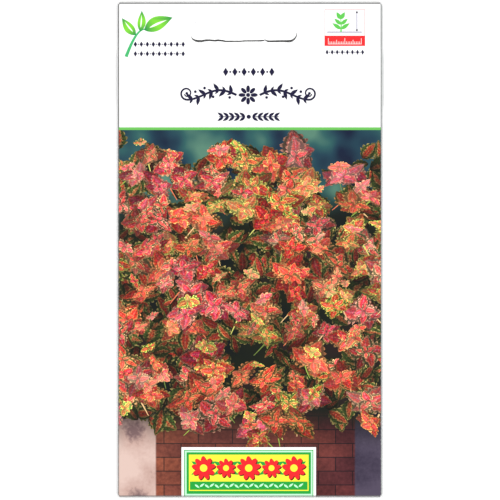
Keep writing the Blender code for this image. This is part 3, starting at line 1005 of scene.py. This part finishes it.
SIDE_FOLD_PARTS, FOOT_FOLD_PARTS = 6, 8
PAST_SIDE = 45
front_corner = [
    (FRONT_HALF_WIDTH - BOTTOM_CORNER * (1 - math.sin(angle)),
     BOTTOM_CORNER * (1 - math.cos(angle)) - FRONT_HALF_HEIGHT)
    for angle in np.linspace(0, math.pi / 2, 7)
]
bleed_edge = FRONT_HALF_WIDTH + SIDE_BLEED
right_side = [(FRONT_HALF_WIDTH - BOTTOM_CORNER, -FRONT_HALF_HEIGHT - END_ARC)] + front_corner + [
    (bleed_edge, -FRONT_HALF_HEIGHT + BOTTOM_CORNER), (bleed_edge, PICTURE_TOP),
]
picture_limit = np.array(right_side + [(-x, y) for x, y in reversed(right_side)])
up_the_sides = np.linspace(-FRONT_HALF_HEIGHT + BOTTOM_CORNER, PICTURE_TOP, 50)
along_the_foot = np.linspace(BOTTOM_CORNER - FRONT_HALF_WIDTH, FRONT_HALF_WIDTH - BOTTOM_CORNER, 40)
up_the_front = np.linspace(-FRONT_HALF_HEIGHT + 0.4, PICTURE_TOP - 0.4, 72)
fold_lines = side_fold_lines(-1, up_the_sides) + side_fold_lines(1, up_the_sides)
fold_lines += [
    [(x, -FRONT_HALF_HEIGHT - END_ARC * i / FOOT_FOLD_PARTS) for x in along_the_foot]
    for i in range(FOOT_FOLD_PARTS)
]
picture_dots = [(x, y) for x in np.linspace(-39, 39, 50) for y in up_the_front]
FOLD_TEAL = ink(120, 172, 160)
BLEED_START = FRONT_HALF_WIDTH + 0.16
grow = random.Random(3)
picture_shapes = scatter_under_leaves(grow) + plant_rosettes(grow) + make_label()
picture_rule = box(-PAST_SIDE, PICTURE_TOP - RULE_WIDTH, PAST_SIDE, PICTURE_TOP + 1)
picture_shapes.append(flat(picture_rule, ink(107, 188, 88)))
picture_shapes.append(flat(box(BLEED_START, -90, PAST_SIDE, 45), FOLD_TEAL))
add_print(
    "front_picture_ink", picture_shapes, picture_limit, fold_lines, picture_dots, make_front_inks(),
    grounded=True,
)


# Header print: line work on the bare white paper above the picture. A sprig, a height sign with a red
# tag and dark blue ornament, and round the right fold the edge of the back's green bleed.
def navy(outline):
    """A shape in the header's dark blue ink."""
    return flat(outline, ink(27, 24, 56))


def curved_leaf(x, y, length, width, turn, bend, colour=ink(27, 24, 56)):
    """A plain leaf with a sideways bend, in dark blue or another ink."""
    return plain_leaf(x, y, length, width, turn, colour, bend, points=17)


def leaf_gradient(x, y, length, turn):
    """Greens that run from a dark stalk through a light middle to a dark tip."""
    dark, light = ink(30, 135, 72), ink(128, 214, 58)

    def shade(points):
        along = ((points[..., 0] - x) * math.cos(turn) + (points[..., 1] - y) * math.sin(turn)) / length
        glow = np.sin(math.pi * np.clip(along, 0.02, 0.98))[..., None] ** 1.3
        return dark * (1 - glow) + light * glow

    return shade


def make_sprig():
    """Three broad green leaves on one stalk, each with a white vein."""
    stalk = [
        (-37.5 + 4.9 * share + 0.9 * share ** 2, 58.5 + 8.4 * math.sin(share * math.pi / 2))
        for share in np.linspace(0, 1, 18)
    ]
    parts = [flat(stroke(stalk, np.linspace(1.0, 0.35, 18)), ink(66, 180, 108))]
    for x, y, length, width, turn, bend in (
        (-34.6, 65.1, 6.6, 2.9, 2.25, 0.16), (-33.2, 66.2, 6.3, 2.5, 1.50, -0.14),
        (-32.0, 66.6, 9.4, 4.3, 0.42, 0.12),
    ):
        parts.append(curved_leaf(x, y, length, width, turn, bend, leaf_gradient(x, y, length, turn)))
        inner_x, inner_y = x + 0.18 * length * math.cos(turn), y + 0.18 * length * math.sin(turn)
        parts.append(curved_leaf(
            inner_x, inner_y, length * 0.62, width * 0.16, turn, bend * 0.62, ink(245, 252, 240)))
    return parts


def ornament_row(left, right, y, count, height):
    """A row of upright diamonds with a dot between each two."""
    parts = []
    pitch = (right - left) / count
    half = pitch * 0.29
    for i in range(count):
        x = left + (i + 0.5) * pitch
        parts.append(navy([(x + half, y), (x, y + height / 2), (x - half, y), (x, y - height / 2)]))
        if i < count - 1:
            parts.append(navy(oval(x + pitch / 2, y, height * 0.24, points=10)))
    return parts


def leaf_row(middle, y, reach, count, height):
    """Small leaf pairs along a thin stalk that grows from a dot to both sides."""
    parts = [navy(oval(middle, y, height * 0.42, points=14))]
    for side in (-1, 1):
        stalk = [(middle + side * along, y) for along in np.linspace(height * 0.4, reach, 14)]
        parts.append(navy(stroke(stalk, 0.24)))
        for i in range(count):
            root = middle + side * (height * 0.35 + (reach - height * 0.8) * i / (count - 1))
            for way in (-1, 1):
                turn = way * 0.62 if side > 0 else math.pi - way * 0.62
                parts.append(curved_leaf(root, y, height * 0.72, height * 0.27, turn, 0.10 * way * side))
    return parts


VINE_START, VINE_REACH, VINE_RISE = 3.5, 15.1, 1.45


def make_vine(middle, y):
    """A vine that waves out from a flower to both sides, with leaves and berries, and ends in curls."""

    def wave(share):
        return VINE_START + VINE_REACH * share, VINE_RISE * math.sin(share * 1.5 * math.pi)

    parts = []
    for side in (-1, 1):
        curl = [
            (18.6 + (1.95 - 1.25 * share) * math.cos(angle), 0.50 + (1.95 - 1.25 * share) * math.sin(angle))
            for share, angle in zip(np.linspace(0, 1, 46), np.linspace(1.5 * math.pi, 3.9 * math.pi, 46))
        ]
        outline = [wave(share) for share in np.linspace(0, 1, 50)] + curl[1:]
        route = [(middle + side * along, y + height) for along, height in outline]
        parts.append(navy(stroke(route[:50], np.linspace(0.72, 0.60, 50))))
        parts.append(navy(stroke(route[49:], np.linspace(0.60, 0.36, len(route) - 49))))
        parts.append(navy(oval(middle + side * 18.6, y + 0.5, 0.85, points=14)))
        for i, share in enumerate(np.linspace(0.09, 0.88, 7)):
            along, height = wave(share)
            slope = math.atan2(VINE_RISE * 1.5 * math.pi * math.cos(share * 1.5 * math.pi), VINE_REACH)
            way = 1 if i % 2 == 0 else -1
            for lean, length, bend in ((way * 0.95, 2.7, -0.16 * way), (-way * 0.75, 1.7, 0.12 * way)):
                turn = slope + lean if side > 0 else math.pi - slope - lean
                parts.append(curved_leaf(
                    middle + side * along, y + height, length, length * 0.40, turn, bend * side))
        for along, height in ((5.6, -0.75), (10.6, -0.55), (13.2, 2.1), (16.0, 1.0)):
            parts.append(navy(oval(middle + side * along, y + height, 0.85, points=12)))
    for petal in range(8):
        angle = petal * math.pi / 4
        parts.append(navy(oval(
            middle + 1.85 * math.cos(angle), y + 1.85 * math.sin(angle), 2.15, 1.15, 16, angle)))
    return parts + [navy(oval(middle, y, 1.25, points=16))]


def make_height_sign():
    """A young plant in a thin red frame beside a gauge, over a red tag with ruler ticks."""
    frame_red, tag_red, gauge_grey = ink(226, 190, 190), ink(232, 44, 48), ink(176, 174, 192)
    ground_grey, dot_grey, plant_green = ink(150, 142, 170), ink(70, 66, 80), ink(96, 196, 82)
    tick_white = ink(252, 225, 222)
    left, right, foot, top, line = 22.7, 35.0, 64.9, 72.95, 0.22
    parts = [flat(outline, frame_red) for outline in (
        box(left, top - line, right, top), box(left, foot, left + line, top - line),
        box(right - line, foot, right, top - line),
    )]
    parts.append(flat(box(left + 0.8, 65.85, right - 1.0, 66.15), ground_grey))
    stem = stroke([(27.7, 66.1), (27.75, 68.2), (27.6, 70.4)], [0.55, 0.32, 0.2])
    parts.append(flat(stem, ink(120, 210, 110)))
    for x, y, length, width, turn in (
        (27.7, 66.9, 3.2, 1.15, 0.60), (27.7, 68.3, 2.7, 1.1, 0.72), (27.6, 69.9, 2.5, 1.25, 1.05),
    ):
        for way in (turn, math.pi - turn):
            parts.append(curved_leaf(x, y, length, width, way, 0.0, plant_green))
    parts.append(flat(box(32.35, 66.7, 32.65, 72.1), gauge_grey))
    parts += [flat(oval(32.5, y, 0.62, points=14), dot_grey) for y in (66.6, 72.0)]
    parts.append(flat(box(left, 61.8, right, foot), tag_red))
    for i in range(21):
        x, height = 23.85 + i * 0.5, 1.7 if i % 10 == 0 else 1.2 if i % 5 == 0 else 0.7
        parts.append(flat(box(x - 0.09, 62.45, x + 0.09, 62.45 + height), tick_white))
    return parts + [flat(box(23.76, 62.3, 33.94, 62.48), tick_white)]


def make_marks():
    """Loose pale fibres beside the slit, and two grey scuffs."""
    fibre, scuff, faint = ink(206, 204, 214), ink(218, 218, 220), ink(214, 214, 218)
    return [flat(oval(*placing), colour) for *placing, colour in (
        (-13.6, 62.95, 0.7, 0.13, 10, 0.5, fibre), (-12.7, 62.85, 0.6, 0.13, 10, -0.6, fibre),
        (-11.6, 62.90, 0.8, 0.13, 10, 0.3, fibre), (-10.4, 62.80, 0.6, 0.13, 10, -0.4, fibre),
        (-9.4, 62.90, 0.5, 0.13, 10, 0.7, fibre), (4.7, 63.05, 0.5, 0.13, 10, 1.2, fibre),
        (5.2, 62.90, 0.4, 0.13, 10, -0.9, fibre), (-16.5, 68.9, 0.75, 0.28, 12, 0.1, scuff),
        (22.0, 52.4, 0.85, 0.22, 12, 0.05, faint),
    )]


line_inks, line_surface, line_place = new_material("line_inks", 0.34)
finish_inks(line_surface, line_place, attribute(line_place, "flat_ink"))
header_left = -39.6
header_foot, header_top = PICTURE_TOP + 0.02, FRONT_HALF_HEIGHT - TOP_CORNER_RADIUS / MM
header_rows = np.concatenate([np.arange(*spacing) for spacing in (
    (38.5, 42.2, 1.2), (42.2, 45.5, 0.3), (46.5, 57.9, 1.2), (58.0, 61.3, 0.3), (62.5, 73.0, 1.5),
)])
header_lines = [[(header_left, y), (bleed_edge, y)] for y in header_rows]
header_lines += side_fold_lines(1, np.linspace(header_foot, header_top, 40))
header_shapes = make_marks() + make_sprig() + make_height_sign() + make_vine(-0.5, 46.9)
header_shapes += ornament_row(-8.7, 8.1, 53.9, 6, 2.6) + leaf_row(-0.3, 40.3, 9.1, 5, 3.1)
header_shapes += ornament_row(-35.6, -19.3, 62.3, 9, 1.7) + ornament_row(-35.6, -19.3, 59.4, 9, 1.7)
header_shapes += ornament_row(22.7, 35.0, 59.9, 8, 1.6)
header_shapes.append(flat(box(BLEED_START, 30, PAST_SIDE, 80), FOLD_TEAL))
header_limit = box(header_left, header_foot, bleed_edge, header_top)
add_print("header_ink", header_shapes, header_limit, header_lines, [], line_inks)


# Back print: the same inks on the back panel and on the flap over its end. A green band runs up one
# side of both, beside a sowing calendar, four care signs, ruled lines for notes and a box for a date.
BACK_GREEN, BACK_PALE, BACK_GREY = ink(96, 172, 82), ink(214, 234, 206), ink(188, 190, 194)
BACK_DARK, BACK_WHITE = ink(52, 58, 74), ink(250, 250, 250)
SHEET_TURN = 2 * FRONT_HALF_HEIGHT + END_ARC
BACK_REACH = FRONT_HALF_WIDTH - 0.4
BAND_EDGE, BAND_MIDDLE = -31.5, -35.6


def turned_over(parts, sheet_v):
    """Shapes drawn as they are seen from the back, moved to where they lie on the flat sheet."""
    turned_parts = []
    for part in parts:
        x, y = part.outline.T
        turned_parts.append(flat(np.stack([-x, sheet_v(y)], axis=-1), part.ink))
    return turned_parts


def panel_v(y):
    """Where a height on the back lies along the flat sheet's back panel."""
    return -(y + SHEET_TURN)


def flap_v(y):
    """Where a height on the back lies along the flat sheet's flap."""
    return SHEET_TURN - y


def keyline(left, bottom, right, top, width, colour):
    """A white box with a printed outline."""
    inner = box(left + width, bottom + width, right - width, top - width, 0.6)
    return [flat(box(left, bottom, right, top, 0.8), colour), flat(inner, BACK_WHITE)]


def make_calendar(left, foot, right):
    """Twelve months in a row over bars for sowing, planting out and flowering."""
    pitch = (right - left) / 12
    parts = keyline(left - 0.3, foot - 0.3, right + 0.3, foot + 18.3, 0.3, BACK_GREY)
    for month in range(12):
        x = left + month * pitch
        parts.append(flat(box(x + 0.15, foot + 13.2, x + pitch - 0.15, foot + 18.0), BACK_GREEN))
        for dot in range(month % 3 + 1):
            dot_x = x + pitch / 2 + (dot - (month % 3) / 2) * 1.2
            parts.append(flat(oval(dot_x, foot + 15.6, 0.8, points=12), BACK_WHITE))
    for row in (4.4, 8.8, 13.0):
        parts.append(flat(box(left, foot + row - 0.08, right, foot + row + 0.08), BACK_GREY))
    for height, first, last, colour in (
        (9.6, 1, 4, ink(110, 186, 90)), (5.2, 4, 6, ink(246, 166, 60)), (0.9, 5, 10, ink(226, 66, 60)),
    ):
        bar = box(left + first * pitch, foot + height, left + last * pitch, foot + height + 2.6, 1.0)
        parts.append(flat(bar, colour))
    return parts


def make_care_signs(left, foot):
    """Four framed signs: sun, water, sowing depth and spacing."""
    size, pitch = 13.0, 16.1
    parts = []
    for i in range(4):
        parts += keyline(left + i * pitch, foot, left + i * pitch + size, foot + size, 0.5, BACK_GREEN)
    x, y = left + size / 2, foot + size / 2
    for ray in range(8):
        turn = ray * math.pi / 4
        ray_x, ray_y = x + 2.5 * math.cos(turn), y + 2.5 * math.sin(turn)
        parts.append(plain_leaf(ray_x, ray_y, 2.4, 0.9, turn, ink(246, 178, 50)))
    parts.append(flat(oval(x, y, 4.4), ink(250, 200, 60)))
    x += pitch
    parts.append(plain_leaf(x, y + 4.4, 8.2, 4.6, -math.pi / 2, ink(80, 160, 214)))
    x += pitch
    parts.append(flat(box(x - 5.0, y + 1.4, x + 5.0, y + 1.8), BACK_DARK))
    parts.append(flat(oval(x - 1.6, y - 2.6, 2.0, 1.4), ink(110, 74, 44)))
    parts.append(flat(box(x + 2.3, y - 2.6, x + 2.6, y + 1.4), BACK_DARK))
    parts += [plain_leaf(x - 1.6, y + 1.7, 3.4, 1.4, turn, BACK_GREEN) for turn in (0.9, math.pi - 0.9)]
    x += pitch
    parts.append(flat(box(x - 4.0, y - 3.2, x + 4.0, y - 2.9), BACK_DARK))
    for stem in (x - 3.4, x + 3.4):
        parts.append(flat(box(stem - 0.2, y - 1.6, stem + 0.2, y + 1.0), BACK_GREEN))
        parts += [plain_leaf(stem, y + 0.6, 3.4, 1.4, turn, BACK_GREEN) for turn in (0.8, math.pi - 0.8)]
    return parts


def band_leaf(y, lean):
    """A pale leaf on the green band."""
    return plain_leaf(BAND_MIDDLE, y, 5.0, 2.0, math.pi / 2 + lean, BACK_PALE)


panel_shapes = [flat(box(-PAST_SIDE, -80, BAND_EDGE, 50), BACK_GREEN)]
panel_shapes += [band_leaf(-66 + i * 10.4, 0.5 if i % 2 else -0.5) for i in range(11)]
panel_shapes += make_calendar(-27.0, 20.0, 35.4) + make_care_signs(-27.3, 0.0)
panel_shapes += [flat(box(-27.0, y, 35.4, y + 0.2), BACK_GREY) for y in -8.0 - 5.6 * np.arange(8)]
panel_shapes += keyline(8.0, -68.0, 35.4, -54.5, 0.3, BACK_GREY)
panel_shapes += [flat(oval(-25.0 + i * 3.2, -61.5, 1.5, points=16), BACK_GREEN) for i in range(9)]
flap_edge = FLAP_EDGE_Y / MM
panel_limit = box(-BACK_REACH, panel_v(flap_edge - 0.4), BACK_REACH, panel_v(-FRONT_HALF_HEIGHT + 0.1))
panel_lines = [[(-BAND_EDGE - 1, panel_v(y)), (BACK_REACH, panel_v(y))] for y in np.arange(42.0, 45.7, 0.3)]
add_print("back_panel_ink", turned_over(panel_shapes, panel_v), panel_limit, panel_lines, [], line_inks)
flap_shapes = [flat(box(-PAST_SIDE, 40, BAND_EDGE, 80), BACK_GREEN)]
flap_shapes += [band_leaf(50.5 + i * 8.0, 0.5) for i in range(3)]
flap_limit = box(-BACK_REACH, flap_v(FRONT_HALF_HEIGHT - 0.1), BACK_REACH, flap_v(flap_edge + 0.3))
add_print("back_flap_ink", turned_over(flap_shapes, flap_v), flap_limit, [], [], line_inks)


# Glue, sachet and seeds: what the closed packet hides. Cold glue dried in thin yellowish strips, two
# films heat-sealed together round their rim, and small hard seeds with a pitted coat.
def make_dried_glue():
    """Yellowish dried glue with a soft sheen."""
    material, surface, place = new_material("dried_glue", 0.45)
    clouds = speckle(place, 0.6, 3)
    put(blend(clouds, (0.60, 0.52, 0.36), (0.78, 0.71, 0.54)), surface["Base Color"])
    add_bump(surface, clouds, 0.02 * MM)
    return material


def make_sachet_film():
    """Clear thin film, cockled where it was sealed."""
    material, surface, place = new_material("sachet_film", 0.16)
    cockles = speckle(place, 0.35, 2)
    put(blend(cockles, (0.78, 0.81, 0.83), (0.92, 0.94, 0.95)), surface["Base Color"])
    surface["Transmission Weight"].default_value = 0.75
    surface["IOR"].default_value = 1.49
    add_bump(surface, cockles, 0.08 * MM)
    return material


def make_seed_coat():
    """Dull dark brown, mottled and pitted."""
    material, surface, place = new_material("seed_coat", 0.62)
    mottle = speckle(place, 3.5, 4, 0.6)
    brown = ramp(
        mottle, (0.30, (0.018, 0.010, 0.006)), (0.55, (0.065, 0.032, 0.016)), (0.75, (0.16, 0.085, 0.04)),
    )
    put(brown, surface["Base Color"])
    add_bump(surface, mottle, 0.03 * MM)
    return material


inner_finishes = {"glue": make_dried_glue(), "sachet": make_sachet_film(), "seed": make_seed_coat()}
for node_name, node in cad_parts.items():
    kind = node_name.split("_")[0]
    if kind in inner_finishes:
        node.data.materials.clear()
        node.data.materials.append(inner_finishes[kind])
